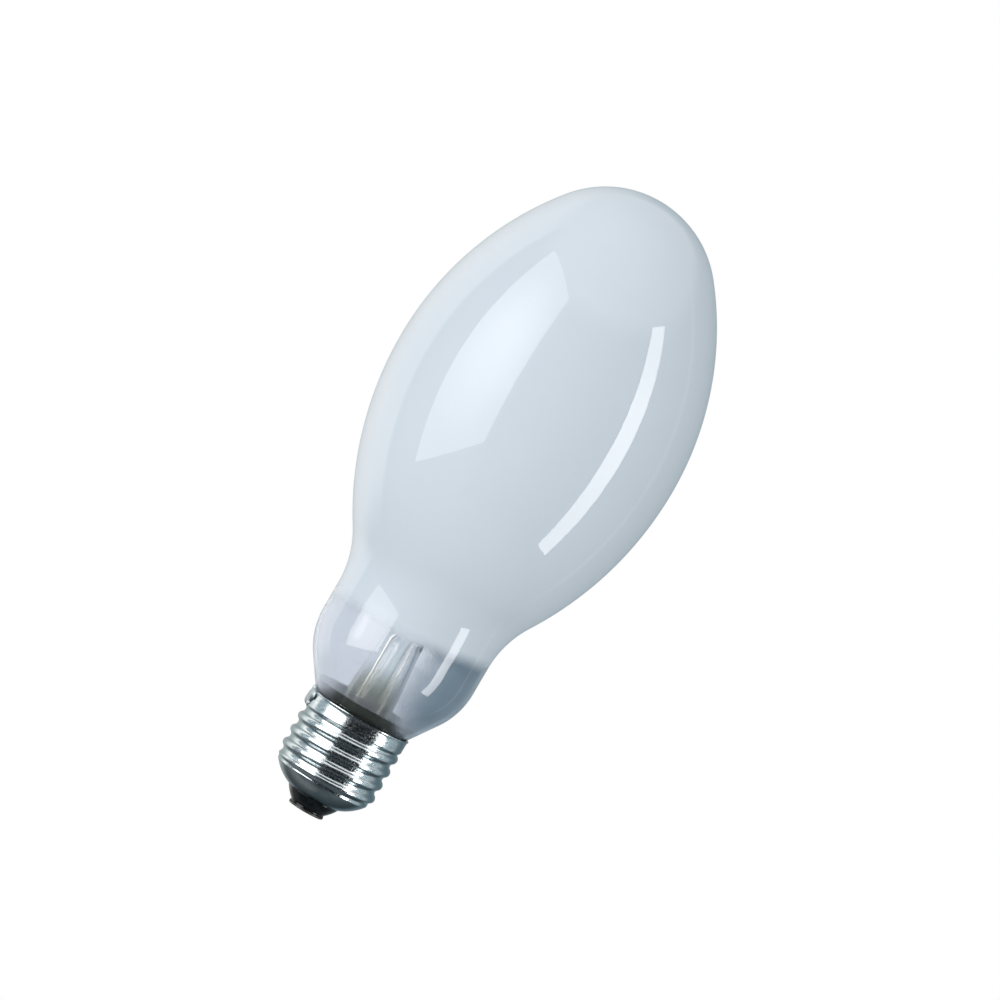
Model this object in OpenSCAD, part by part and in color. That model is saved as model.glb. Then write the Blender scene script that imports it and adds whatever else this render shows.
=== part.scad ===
// Coated elliptical high pressure sodium lamp with a screw cap of 27 mm thread.
// The lamp stands upright: +Z runs from the tip contact to the crown of the bulb.
// The origin is the centre of the tip contact's face. All sizes are in millimetres.

/* [Outer bulb] */
// Greatest diameter of the bulb
bulb_diameter = 75; // [71:0.5:80]
// Length from the tip contact to the crown
lamp_length = 168.6; // [164:0.2:176]
// Height of the greatest diameter, as a share of the way from the neck's top to the crown
widest_share = 0.5; // [0.48:0.001:0.52]
// Radius of the round crown
crown_radius = 26.1; // [24:0.1:28]
// Radius of the hollow shoulder between body and neck
shoulder_radius = 25; // [22:0.5:28]
// Diameter of the neck
neck_diameter = 41.4; // [40:0.2:43]
// Length of the neck's straight part
neck_length = 7.2; // [6:0.2:8.5]
// How far above the rim the neck starts to round in towards the cap
neck_rise = 17.7; // [17:0.1:18.4]
// Radius of the round below the neck
neck_round = 18.7; // [18:0.1:19.4]
// Slope of the cone above the cap, from the axis
cone_angle = 34.5; // [33:0.5:36]
// Radius of the hollow round from the cone into the throat
throat_round = 4; // [3:0.5:5]
// Outer radius of the throat, the tube that stands in the cap
throat_radius = 11.1; // [10.9:0.1:11.3]
// Thickness of the glass
glass_wall = 0.9; // [0.7:0.1:1.2]

/* [Coat] */
// How far the coat reaches down into the neck
coat_reach = 2; // [0.6:0.2:5]
// Thickness of the powder coat
coat_thickness = 0.1; // [0.08:0.01:0.2]

/* [Stem] */
// Outer radius of the stem's tube
stem_radius = 6.2; // [5.9:0.1:6.5]
// Wall of the stem's tube
stem_wall = 1; // [0.8:0.1:1.2]
// Height of the seal, where the stem's flare meets the throat
seal_height = 14.2; // [13.6:0.2:15]
// How far above the rim the stem's tube starts to close
stem_rise = 19.4; // [17.5:0.1:20.5]
// Height of the press above the point where the tube starts to close
press_height = 4.7; // [4:0.1:6]
// Half width of the press
press_half_width = 4.4; // [4:0.1:4.8]
// Thickness of the press
press_thickness = 4.2; // [3.6:0.1:5]
// Outer radius of the exhaust tube
exhaust_radius = 2.1; // [1.8:0.1:2.3]
// Wall of the exhaust tube
exhaust_wall = 0.5; // [0.4:0.1:0.7]
// Height of the exhaust tube's sealed tip
exhaust_tip = 12.6; // [12.4:0.1:13]

/* [Screw cap] */
// Major diameter of the thread
thread_major = 26.3; // [26.05:0.05:26.45]
// Minor diameter of the thread
thread_minor = 24.4; // [24.26:0.02:24.66]
// Pitch of the thread
thread_pitch = 3.629; // [3.5:0.05:3.75]
// Height of a thread crest on the +X side
crest_height = 10.3; // [10:0.1:10.6]
// Thickness of the shell's sheet
sheet = 0.3; // [0.26:0.02:0.34]
// Outer radius of the plain collar above the thread
collar_radius = 12.95; // [12.8:0.05:13.05]
// Height of the collar, up to the rim
collar_height = 3.2; // [2.6:0.1:3.6]
// Height of the rim
rim_height = 26.6; // [26.3:0.1:27]
// How far the rim flares out
rim_flare = 0.25; // [0.25:0.05:0.4]
// Outer radius of the shell's lip, at the insulator
lip_radius = 6.9; // [6.6:0.1:7.2]
// Height of the lip
lip_height = 3.9; // [3.6:0.1:4.2]
// Radius of the round dish between lip and thread
dish_radius = 12; // [11:0.5:14]
// Height at which the dish ends and the thread starts to rise
dish_top = 8; // [7.8:0.1:8.2]

/* [Contacts] */
// Radius of the contact plate
contact_radius = 4.6; // [4.4:0.1:4.7]
// Thickness of the contact plate
contact_thickness = 0.5; // [0.4:0.05:0.6]
// Depth of the pocket for the solder in the contact plate
solder_pocket = 0.3; // [0.2:0.05:0.35]
// Height of the insulator's flat top
insulator_top = 7; // [6.5:0.1:7.2]

/* [Wires] */
// Radius of the sealed lead-in wires
lead_radius = 0.4; // [0.3:0.05:0.5]
// Distance of each lead-in wire from the axis
lead_offset = 3; // [2.9:0.05:3.2]
// Radius of the thin wire to the tip contact
centre_wire_radius = 0.25; // [0.2:0.05:0.3]
// Radius of the thin wire to the rim
side_wire_radius = 0.15; // [0.1:0.01:0.16]
// Turn of the plane that holds all the wires, about the axis
lead_plane = 15; // [0:5:30]

/* [Frame] */
// Radius of the long return rod
rod_radius = 0.8; // [0.6:0.05:1]
// Distance of the return rod from the axis
rod_offset = 13; // [11:0.5:15]
// How far the rod's run across the axis lies below the crown
rod_drop = 19; // [17:0.5:21]
// Radius of the short support
support_radius = 0.7; // [0.5:0.05:0.8]
// Width of the spring's leaf
leaf_width = 3; // [2:0.5:4]
// Half span of the spring's leaf
leaf_reach = 17; // [15:0.5:18]
// Thickness of leaf and straps
ribbon = 0.3; // [0.2:0.05:0.4]

/* [Arc tube] */
// Outer radius of the ceramic tube
arc_radius = 3.6; // [3.2:0.1:4]
// Wall of the ceramic tube
arc_wall = 0.8; // [0.6:0.05:1]
// Length of the arc tube
arc_length = 56; // [50:1:58]
// Space between the arc tube's head and the rod's run above it
arc_head_space = 16; // [14:0.5:20]
// Length of each ceramic plug
plug_length = 4; // [3:0.5:5]
// Outer radius of the niobium tubes
niobium_radius = 1.5; // [1.3:0.05:1.6]
// How far each niobium tube stands out of its plug
niobium_reach = 9; // [8:0.5:11]
// Length of each electrode inside the arc tube
electrode_length = 6; // [5:0.5:7]

/* [Getter] */
// Mean radius of the getter ring
getter_radius = 3.7; // [3:0.1:4.2]
// How far the getter ring stands above the press
getter_rise = 7.3; // [6:0.1:9]

/* [Hidden] */
$fn = 64;

// Clearance left between two pieces that touch
seat = 0.02;
// How deep the threaded sheet's ends lie in the plain sheet of dish and collar
sheet_lap = 0.04;
arc_steps = 10;

bulb_r = bulb_diameter / 2;
neck_r = neck_diameter / 2;
crown_z = lamp_length - crown_radius;

// Heights above the tip contact
collar_start = rim_height - collar_height;
neck_bottom = rim_height + neck_rise;
neck_top = neck_bottom + neck_length;
coat_edge = neck_top - coat_reach;
widest_height = neck_top + widest_share * (lamp_length - neck_top);
stem_shoulder = rim_height + stem_rise;
press_top = stem_shoulder + press_height;
rod_top = lamp_length - rod_drop;
getter_height = press_top + getter_rise;

// The side of the bulb is one arc above the greatest diameter and one below it.
// The upper one runs into the crown, and the lower one into the hollow shoulder.
upper_rise = crown_z - widest_height;
upper_side = (pow(bulb_r, 2) + pow(upper_rise, 2) - pow(crown_radius, 2))
    / (2 * (bulb_r - crown_radius));
crown_turn = atan2(upper_rise, upper_side - bulb_r);
lower_fall = widest_height - neck_top;
shoulder_in = neck_r + shoulder_radius - bulb_r;
lower_side = (pow(shoulder_in, 2) + pow(lower_fall, 2) - pow(shoulder_radius, 2))
    / (2 * (shoulder_radius - shoulder_in));
shoulder_turn = asin(lower_fall / (lower_side + shoulder_radius));

// The cone leaves the neck's round and runs into the throat's hollow round.
cone_top_r = neck_r - neck_round * (1 - cos(cone_angle));
cone_top_z = neck_bottom - neck_round * sin(cone_angle);
cone_foot_r = throat_radius + throat_round * (1 - cos(cone_angle));
cone_foot_z = cone_top_z - (cone_top_r - cone_foot_r) / tan(cone_angle);
throat_top = cone_foot_z - throat_round * sin(cone_angle);

thread_root = thread_minor / 2;
thread_depth = (thread_major - thread_minor) / 2;
thread_wall = sheet - 2 * sheet_lap;
knuckle = (pow(thread_pitch / 2, 2) + pow(thread_depth, 2)) / (4 * thread_depth);
thread_columns = 40;
rows_per_pitch = 9;
// Lengths over which the thread rises from the dish and sinks into the collar
thread_rise = 1.6;
collar_blend = 1.2;
thread_overlap = 0.3;
thread_rows = ceil((collar_start + thread_overlap - dish_top) / thread_pitch * rows_per_pitch);

dish_outer = thread_root + sheet_lap;
dish_chord = [dish_outer - lip_radius, dish_top - lip_height];
dish_sag = sqrt(pow(dish_radius, 2) - pow(norm(dish_chord) / 2, 2));
dish_centre = [lip_radius, lip_height] + dish_chord / 2
    + [-dish_chord[1], dish_chord[0]] / norm(dish_chord) * dish_sag;
dish_from = atan2(lip_height - dish_centre[1], lip_radius - dish_centre[0]);
dish_to = atan2(dish_top - dish_centre[1], dish_outer - dish_centre[0]);

flare_round = throat_radius - stem_radius;
press_round = 1;
cavity_radius = stem_radius - stem_wall;
cavity_top = stem_shoulder + 0.5;
weld_height = 22;
weld_length = 5;
// How far the side wire stands above the rim, in the solder
wire_end = 0.3;

arc_top = rod_top - arc_head_space;
arc_bottom = arc_top - arc_length;
strap_height = 3;
strap_clear = 2;
support_offset = lead_offset + lead_radius + support_radius + seat;
rod_foot_offset = lead_offset + lead_radius + rod_radius + seat;
getter_half = 0.8;
getter_reach = 9;

// Points on an arc about a centre, from one angle to another
function arc_points(centre, radius, from, to, steps = arc_steps) =
    [for (i = [0:steps]) let (a = from + (to - from) * i / steps)
        centre + radius * [cos(a), sin(a)]];

// The bulb's outline from crown to neck, at a depth below its outer surface
function upper_outline(depth) = concat(
    arc_points([0, crown_z], crown_radius - depth, 90, crown_turn),
    arc_points([bulb_r - upper_side, widest_height], upper_side - depth, crown_turn, 0),
    arc_points([bulb_r - lower_side, widest_height], lower_side - depth, 0, -shoulder_turn),
    arc_points([neck_r + shoulder_radius, neck_top], shoulder_radius + depth,
        180 - shoulder_turn, 180));

// The same outline from neck to throat
function lower_outline(depth) = concat(
    arc_points([neck_r - neck_round, neck_bottom], neck_round - depth, 0, -cone_angle),
    arc_points([throat_radius + throat_round, throat_top], throat_round + depth,
        180 - cone_angle, 180, 5),
    [[throat_radius - depth, seal_height + 0.1]]);

function reversed(list) = [for (i = [len(list) - 1:-1:0]) list[i]];
function smooth(t) = let (c = min(max(t, 0), 1)) c * c * (3 - 2 * c);
function mix(a, b, t) = a + (b - a) * t;

// Height of a knuckle thread above its root, at a distance along the axis from a crest
function ridge(along) =
    let (off = abs(along - thread_pitch * round(along / thread_pitch)))
    off < thread_pitch / 4
        ? thread_depth - knuckle + sqrt(pow(knuckle, 2) - pow(off, 2))
        : knuckle - sqrt(pow(knuckle, 2) - pow(thread_pitch / 2 - off, 2));

// Outer radius of the threaded sheet: a right-hand thread that rises out of the dish's
// edge and sinks into the collar
function thread_radius(z, turn) =
    mix(thread_root + ridge(z - crest_height - thread_pitch * turn / 360)
            * smooth((z - dish_top - thread_overlap) / thread_rise),
        collar_radius - sheet_lap,
        smooth((z - collar_start) / collar_blend + 1));

module revolve(points) rotate_extrude() polygon(points);

// Turns a piece into the plane of the lead wires
module in_lead_plane() rotate([0, 0, lead_plane]) children();

// A double bend in the XZ plane, which starts and ends upwards, as [x, z, heading from +Z]
function slant_of(shift, bend, lean) = (shift - 2 * bend * (1 - cos(lean))) / sin(lean);
function rise_of(shift, bend, lean) =
    2 * bend * sin(lean) + slant_of(shift, bend, lean) * cos(lean);
function double_bend(foot, shift, bend, lean, steps) =
    let (head = foot + [shift, rise_of(shift, bend, lean)])
    concat(
        [for (i = [0:steps]) let (a = lean * i / steps)
            [foot[0] + bend * (1 - cos(a)), foot[1] + bend * sin(a), a]],
        [for (i = [steps:-1:0]) let (a = lean * i / steps)
            [head[0] - bend * (1 - cos(a)), head[1] - bend * sin(a), a]]);

// A round wire swept along a path in the XZ plane, given as [x, z, heading from +Z]
module swept_wire(path, radius, sides) {
    last = len(path) - 1;
    function at(ring, side) = ring * sides + side % sides;
    places = [
        for (p = path) for (side = [0:sides - 1])
            let (turn = 360 * side / sides)
            [p[0] + radius * cos(turn) * cos(p[2]), radius * sin(turn),
             p[1] - radius * cos(turn) * sin(p[2])]];
    walls = [
        for (ring = [0:last - 1]) for (side = [0:sides - 1]) each [
            [at(ring, side), at(ring + 1, side), at(ring + 1, side + 1)],
            [at(ring, side), at(ring + 1, side + 1), at(ring, side + 1)]]];
    foot = [for (side = [0:sides - 1]) at(0, side)];
    head = [for (side = [sides - 1:-1:0]) at(last, side)];
    polyhedron(places, concat(walls, [foot, head]), convexity = 6);
}

module outer_bulb()
    color([0.86, 0.9, 0.93, 0.4])
        revolve(concat(
            upper_outline(0), lower_outline(0),
            reversed(lower_outline(glass_wall)), reversed(upper_outline(glass_wall))));

module diffusing_coat() {
    outside = glass_wall + seat;
    inside = outside + coat_thickness;
    color([0.95, 0.96, 0.97])
        revolve(concat(
            upper_outline(outside), [[neck_r - outside, coat_edge], [neck_r - inside, coat_edge]],
            reversed(upper_outline(inside))));
}

// The flare at the foot, the tube, its closed shoulder and the flat press above
module stem() {
    shoulder_round = stem_radius - press_half_width;
    color([0.85, 0.9, 0.92, 0.4])
        difference() {
            union() {
                revolve(concat(
                    arc_points([throat_radius, seal_height + flare_round],
                        flare_round + stem_wall, 270, 180),
                    [[cavity_radius, cavity_top - 1], [cavity_radius - 1, cavity_top],
                     [0, cavity_top], [0, stem_shoulder + shoulder_round]],
                    arc_points([press_half_width, stem_shoulder], shoulder_round, 90, 0, 5),
                    arc_points([throat_radius, seal_height + flare_round],
                        flare_round, 180, 270)));
                in_lead_plane() press();
            }
            in_lead_plane()
                for (side = [-1, 1])
                    translate([side * lead_offset, 0, cavity_top - 2])
                        cylinder(r = lead_radius + seat, h = press_top - cavity_top + 3);
        }
}

module press() {
    foot = stem_shoulder + 1;
    intersection() {
        revolve([
            [0, foot], [press_half_width, foot],
            each arc_points([press_half_width - press_round, press_top - press_round],
                press_round, 0, 90, 4),
            [0, press_top]]);
        translate([-press_half_width, -press_thickness / 2, foot])
            cube([2 * press_half_width, press_thickness, press_top - foot]);
    }
}

// An open tube that ends in a drawn and sealed tip below
module exhaust_tube() {
    bore = exhaust_radius - exhaust_wall;
    taper = 3;
    tip = 0.8;
    color([0.85, 0.9, 0.92, 0.4])
        revolve([
            [0, exhaust_tip], [tip, exhaust_tip], [exhaust_radius, exhaust_tip + taper],
            [exhaust_radius, cavity_top - seat], [bore, cavity_top - seat],
            [bore, exhaust_tip + taper + 0.5], [0, exhaust_tip + taper - 1]]);
}

// Rolled thread: one closed sheet, worked out ring by ring
module threaded_sheet() {
    rows = thread_rows;
    step = (collar_start + thread_overlap - dish_top) / rows;
    function at(side, row, column) =
        (side * (rows + 1) + row) * thread_columns + column % thread_columns;
    places = [
        for (side = [0, 1]) for (row = [0:rows]) for (column = [0:thread_columns - 1])
            let (turn = 360 * column / thread_columns,
                 z = dish_top + row * step,
                 radius = thread_radius(z, turn) - side * thread_wall)
            [radius * cos(turn), radius * sin(turn), z]];
    walls = [
        for (row = [0:rows - 1]) for (column = [0:thread_columns - 1]) each [
            [at(0, row, column), at(0, row + 1, column), at(0, row + 1, column + 1)],
            [at(0, row, column), at(0, row + 1, column + 1), at(0, row, column + 1)],
            [at(1, row, column), at(1, row + 1, column + 1), at(1, row + 1, column)],
            [at(1, row, column), at(1, row, column + 1), at(1, row + 1, column + 1)]]];
    ends = [
        for (column = [0:thread_columns - 1]) each [
            [at(0, 0, column), at(0, 0, column + 1), at(1, 0, column + 1)],
            [at(0, 0, column), at(1, 0, column + 1), at(1, 0, column)],
            [at(0, rows, column), at(1, rows, column + 1), at(0, rows, column + 1)],
            [at(0, rows, column), at(1, rows, column), at(1, rows, column + 1)]]];
    polyhedron(places, concat(walls, ends), convexity = 10);
}

// Section of the plain dish below the thread
function dish_section() = concat(
    arc_points(dish_centre, dish_radius, dish_from, dish_to),
    [[dish_outer, dish_top + thread_overlap], [dish_outer - sheet, dish_top + thread_overlap]],
    arc_points(dish_centre, dish_radius - sheet, dish_to, dish_from));

// Section of the collar with its flared rim
function collar_section() = [
    [collar_radius, collar_start], [collar_radius, rim_height - 1],
    [collar_radius + rim_flare * 0.4, rim_height - 0.5],
    [collar_radius + rim_flare, rim_height],
    [collar_radius + rim_flare - sheet, rim_height],
    [collar_radius + rim_flare * 0.4 - sheet, rim_height - 0.5],
    [collar_radius - sheet, rim_height - 1], [collar_radius - sheet, collar_start]];

module screw_shell()
    color([0.72, 0.75, 0.76]) {
        revolve(dish_section());
        threaded_sheet();
        revolve(collar_section());
    }

// Fills the gap between throat and shell, with a groove for the side wire
module basing_cement() {
    outside = thread_root - thread_wall - 0.08;
    top = rim_height - 0.4;
    cone_depth = (cone_foot_r - throat_radius) + (top - cone_foot_z) * tan(cone_angle);
    color([0.42, 0.4, 0.37])
        difference() {
            revolve(concat(
                [[throat_radius + seat, seal_height + 0.3],
                 [outside, seal_height + 0.3],
                 [outside, collar_start - collar_blend],
                 [collar_radius - sheet - 0.1, collar_start + 0.2],
                 [collar_radius - sheet - 0.1, top],
                 [throat_radius + cone_depth + 2 * seat, top]],
                arc_points([throat_radius + throat_round, throat_top],
                    throat_round - 2 * seat, 180 - cone_angle, 180, 5)));
            wire_groove(rim_height);
        }
}

// The way that the side wire takes along the glass, as a cut
module wire_groove(top) {
    depth = 2 * side_wire_radius + 3 * seat;
    half_angle = asin((side_wire_radius + seat) / throat_radius);
    in_lead_plane()
        rotate([0, 0, 180 - half_angle])
            rotate_extrude(angle = 2 * half_angle)
                polygon(concat(
                    [[throat_radius - 0.5, seal_height], [throat_radius + depth, seal_height]],
                    arc_points([throat_radius + throat_round, throat_top],
                        throat_round - depth, 180, 180 - cone_angle, 5),
                    [[glass_radius(top) + depth / cos(cone_angle), top],
                     [throat_radius - 0.5, top]]));
}

// Black glass: a cone outside the lip, a ring inside the dish, and a hole for the wire
module insulator() {
    inside = dish_radius - sheet - seat;
    edge = asin((insulator_top - dish_centre[1]) / inside);
    hole = centre_wire_radius + 0.15;
    throat = lip_radius - 0.2;
    foot = contact_thickness + seat;
    color([0.06, 0.06, 0.07])
        revolve(concat(
            [[hole, foot], [contact_radius - 0.2, foot],
             [mix(contact_radius, throat, 0.3), mix(foot, lip_height, 0.24)],
             [mix(contact_radius, throat, 0.6), mix(foot, lip_height, 0.58)],
             [throat, lip_height - 0.15],
             [throat, lip_height + 0.3]],
            arc_points(dish_centre, inside, dish_from, edge),
            [[3 * hole, insulator_top], [hole, insulator_top - 2]]));
}

module centre_contact() {
    bevel = 0.12;
    pocket = 1.6;
    hole = centre_wire_radius + 0.15;
    color([0.75, 0.68, 0.5])
        revolve([
            [pocket, 0], [contact_radius - bevel, 0], [contact_radius, bevel],
            [contact_radius, contact_thickness], [hole, contact_thickness],
            [hole, solder_pocket], [pocket, solder_pocket]]);
}

module centre_solder()
    color([0.6, 0.62, 0.64])
        revolve([
            [0, 0.04], [0.9, 0.04], [1.5, 0.12], [1.5, solder_pocket - seat],
            [centre_wire_radius + seat, solder_pocket - seat],
            [centre_wire_radius + seat, 0.16], [0, 0.16]]);

// Solder that ran over the rim: lobes that lie on the collar, with a bead on top
module side_solder() {
    $fn = 360;
    foot = rim_height - 8;
    color([0.6, 0.62, 0.64])
        in_lead_plane()
            difference() {
                translate([-collar_radius, 0, rim_height]) {
                    translate([1.55, 0, -1.4]) sphere(r = 2.5);
                    translate([1.45, 1.3, -2.7]) sphere(r = 2.1);
                    translate([1.35, -1.4, -1.3]) sphere(r = 2);
                    translate([-0.15, 0.2, 0.55]) sphere(r = 0.72);
                }
                revolve([
                    [0, foot], [thread_major / 2 + seat, foot],
                    [thread_major / 2 + seat, collar_start],
                    [collar_radius + seat, collar_start],
                    [collar_radius + seat, rim_height - 1],
                    [collar_radius + rim_flare + seat, rim_height - 0.3],
                    [collar_radius + rim_flare + seat, rim_height + seat],
                    [glass_radius(rim_height) + 2 * seat, rim_height + seat],
                    [glass_radius(rim_height + 3) + 2 * seat, rim_height + 3],
                    [0, rim_height + 3]]);
                rotate([0, 0, -lead_plane]) wire_groove(rim_height + wire_end + 2 * side_wire_radius);
            }
}

// Outer radius of the glass on the cone
function glass_radius(z) = cone_foot_r + (z - cone_foot_z) * tan(cone_angle);

module lead_in(side, top)
    color([0.6, 0.55, 0.48])
        in_lead_plane()
            translate([side * lead_offset, 0, weld_height])
                cylinder(r = lead_radius, h = top - weld_height);

module long_lead_in() lead_in(-1, press_top + weld_length);
module short_lead_in() lead_in(1, press_top + weld_length);

// Down from the short lead-in, under the exhaust tip and through the insulator
module centre_lead_wire() {
    bend = 3;
    lean = 60;
    end = 0.2;
    bend_foot = exhaust_tip - 0.6 - rise_of(lead_offset, bend, lean);
    path = concat(
        [[0, end, 0]],
        double_bend([0, bend_foot], lead_offset, bend, lean, 5),
        [[lead_offset, weld_height - seat, 0]]);
    color([0.62, 0.58, 0.5])
        in_lead_plane() swept_wire(path, centre_wire_radius, 8);
}

// Down from the long lead-in, out under the flare, and up the glass to the rim
module side_lead_wire() {
    bend = 1.5;
    steps = 5;
    run_height = seal_height - 3.6;
    up = throat_radius + seat + side_wire_radius;
    rim_bend = throat_round - seat - side_wire_radius;
    rim_centre = [-throat_radius - throat_round, throat_top];
    leave = rim_centre + rim_bend * [cos(cone_angle), sin(cone_angle)];
    last = (rim_height + wire_end - leave[1]) / cos(cone_angle);
    path = concat(
        [[-lead_offset, weld_height - seat, 180]],
        [for (i = [0:steps]) let (a = 90 * i / steps)
            [-lead_offset - bend * (1 - cos(a)), run_height + bend * (1 - sin(a)), 180 + a]],
        [for (i = [0:steps]) let (a = 90 * i / steps)
            [-up + bend * (1 - sin(a)), run_height + bend * (1 - cos(a)), 270 + a]],
        [for (i = [0:steps]) let (a = cone_angle * i / steps)
            [rim_centre[0] + rim_bend * cos(a), rim_centre[1] + rim_bend * sin(a), 360 - a]],
        [[leave[0] - last * sin(cone_angle), leave[1] + last * cos(cone_angle),
            360 - cone_angle]]);
    color([0.62, 0.58, 0.5])
        in_lead_plane() swept_wire(path, side_wire_radius, 8);
}

// Up from the long lead-in, out past the arc tube, and across below the crown
module frame_rod() {
    foot = press_top + 0.6;
    bend = 4;
    steps = 6;
    path = concat(
        [[rod_foot_offset, foot, 0]],
        double_bend([rod_foot_offset, foot + weld_length + 1.5],
            rod_offset - rod_foot_offset, bend, 45, steps),
        [for (i = [0:2 * steps]) let (a = 45 * i / steps)
            [rod_offset - bend * (1 - cos(a)), rod_top - bend + bend * sin(a), -a]],
        [[-leaf_width / 2, rod_top, -90]]);
    color([0.66, 0.67, 0.68])
        in_lead_plane()
            rotate([0, 0, 180]) swept_wire(path, rod_radius, 12);
}

module short_support() {
    foot = press_top + 0.6;
    color([0.66, 0.67, 0.68])
        in_lead_plane()
            translate([support_offset, 0, foot])
                cylinder(r = support_radius, h = arc_bottom - strap_clear - foot);
}

module arc_tube()
    color([0.96, 0.95, 0.92])
        translate([0, 0, arc_bottom])
            difference() {
                cylinder(r = arc_radius, h = arc_length);
                translate([0, 0, -1]) cylinder(r = arc_radius - arc_wall, h = arc_length + 2);
            }

// Pieces at the arc tube's lower end, and mirrored at its upper end
module at_end(end)
    translate([0, 0, end > 0 ? arc_top : arc_bottom])
        mirror([0, 0, end > 0 ? 1 : 0])
            children();

module end_plug(end)
    color([0.95, 0.94, 0.9])
        at_end(end)
            difference() {
                cylinder(r = arc_radius - arc_wall - seat, h = plug_length);
                translate([0, 0, -1]) cylinder(r = niobium_radius + seat, h = plug_length + 2);
            }

module lower_end_plug() end_plug(-1);
module upper_end_plug() end_plug(1);

// A tube with its inner end closed
module niobium_tube(end) {
    wall = 0.25;
    color([0.6, 0.6, 0.62])
        at_end(end)
            translate([0, 0, -niobium_reach])
                difference() {
                    cylinder(r = niobium_radius, h = niobium_reach + plug_length + 0.4);
                    translate([0, 0, -1])
                        cylinder(r = niobium_radius - wall, h = niobium_reach + plug_length + 0.9);
                }
}

module lower_niobium_tube() niobium_tube(-1);
module upper_niobium_tube() niobium_tube(1);

// A rod with two layers of coil near its tip
module electrode(end) {
    rod = 0.4;
    coil_wire = 0.3;
    coil_turns = 5;
    color([0.45, 0.45, 0.47])
        at_end(end)
            translate([0, 0, plug_length + 0.4 + seat]) {
                cylinder(r = rod, h = electrode_length);
                for (turn = [0:coil_turns - 1])
                    translate([0, 0, electrode_length - 1 - (turn + 0.5) * 1.9 * coil_wire])
                        rotate_extrude()
                            translate([rod + coil_wire * 0.8, 0]) circle(r = coil_wire);
            }
}

module lower_electrode() electrode(-1);
module upper_electrode() electrode(1);

// A ribbon with a loop round the niobium tube and a loop round its post
module strap(post, post_radius) {
    loops = [[0, niobium_radius + seat], [post, post_radius + seat]];
    difference() {
        union() {
            for (loop = loops)
                translate([loop[0], 0, 0]) cylinder(r = loop[1] + ribbon, h = strap_height);
            translate([min(0, post), -ribbon / 2, 0]) cube([abs(post), ribbon, strap_height]);
        }
        for (loop = loops)
            translate([loop[0], 0, -1]) cylinder(r = loop[1], h = strap_height + 2);
    }
}

module lower_strap()
    color([0.6, 0.6, 0.6])
        in_lead_plane()
            translate([0, 0, arc_bottom - strap_clear - strap_height - 1])
                strap(support_offset, support_radius);

module upper_strap()
    color([0.6, 0.6, 0.6])
        in_lead_plane()
            translate([0, 0, arc_top + strap_clear + 1])
                strap(-rod_offset, rod_radius);

// A bowed leaf across the rod's top run, whose ends bear on the coated crown
module top_spring() {
    foot = rod_top + rod_radius + seat;
    bearing = crown_radius - glass_wall - coat_thickness - seat - 0.25;
    head = crown_z + sqrt(pow(bearing, 2) - pow(leaf_reach, 2) - pow(leaf_width / 2, 2));
    rise = head - foot;
    bow = (pow(leaf_reach, 2) + pow(rise, 2)) / (2 * rise);
    half_angle = asin(leaf_reach / bow);
    color([0.68, 0.69, 0.7])
        in_lead_plane()
            translate([0, 0, foot + bow])
                rotate([90, 0, 90])
                    rotate([0, 0, -90 - half_angle])
                        rotate_extrude(angle = 2 * half_angle)
                            translate([bow - ribbon, -leaf_width / 2])
                                square([ribbon, leaf_width]);
}

// A channel bent into a ring, open towards the neck
module getter_ring() {
    wall = 0.2;
    color([0.5, 0.52, 0.55])
        in_lead_plane()
            translate([getter_reach + getter_radius + getter_half, 0, getter_height])
                rotate_extrude()
                    translate([getter_radius, 0])
                        polygon([
                            [-getter_half, -getter_half], [-getter_half, getter_half],
                            [getter_half, getter_half], [getter_half, -getter_half],
                            [getter_half - wall, -getter_half], [getter_half - wall, getter_half - wall],
                            [wall - getter_half, getter_half - wall], [wall - getter_half, -getter_half]]);
}

module getter_wire() {
    radius = 0.3;
    color([0.66, 0.67, 0.68])
        in_lead_plane()
            translate([support_offset + support_radius + seat, 0, getter_height])
                rotate([0, 90, 0])
                    cylinder(r = radius,
                        h = getter_reach - support_offset - support_radius - 2 * seat);
}

// A wire along the arc tube, held by a band near each end
module starting_aid() {
    wire = 0.25;
    band = 1;
    inset = 6;
    bore = arc_radius + seat;
    color([0.7, 0.7, 0.72])
        in_lead_plane()
            difference() {
                union() {
                    for (z = [arc_bottom + inset, arc_top - inset - band])
                        translate([0, 0, z]) cylinder(r = bore + ribbon, h = band);
                    translate([bore + wire, 0, arc_bottom + inset])
                        cylinder(r = wire, h = arc_length - 2 * inset);
                }
                translate([0, 0, arc_bottom]) cylinder(r = bore, h = arc_length);
            }
}

outer_bulb();
diffusing_coat();
stem();
exhaust_tube();
screw_shell();
basing_cement();
insulator();
centre_contact();
centre_solder();
side_solder();
long_lead_in();
short_lead_in();
centre_lead_wire();
side_lead_wire();
frame_rod();
short_support();
arc_tube();
lower_end_plug();
upper_end_plug();
lower_niobium_tube();
upper_niobium_tube();
lower_electrode();
upper_electrode();
lower_strap();
upper_strap();
top_spring();
getter_ring();
getter_wire();
starting_aid();
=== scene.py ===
"""Looks of a coated elliptical high pressure sodium lamp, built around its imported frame.

Lengths in the piece sections are millimetres, as in the part; MM turns them into metres.
"""
from math import acos, asin, atan2, cos, degrees, hypot, pi, radians, sin, sqrt, tan

import bmesh
import bpy
from mathutils import Euler, Matrix, Vector, noise


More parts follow.
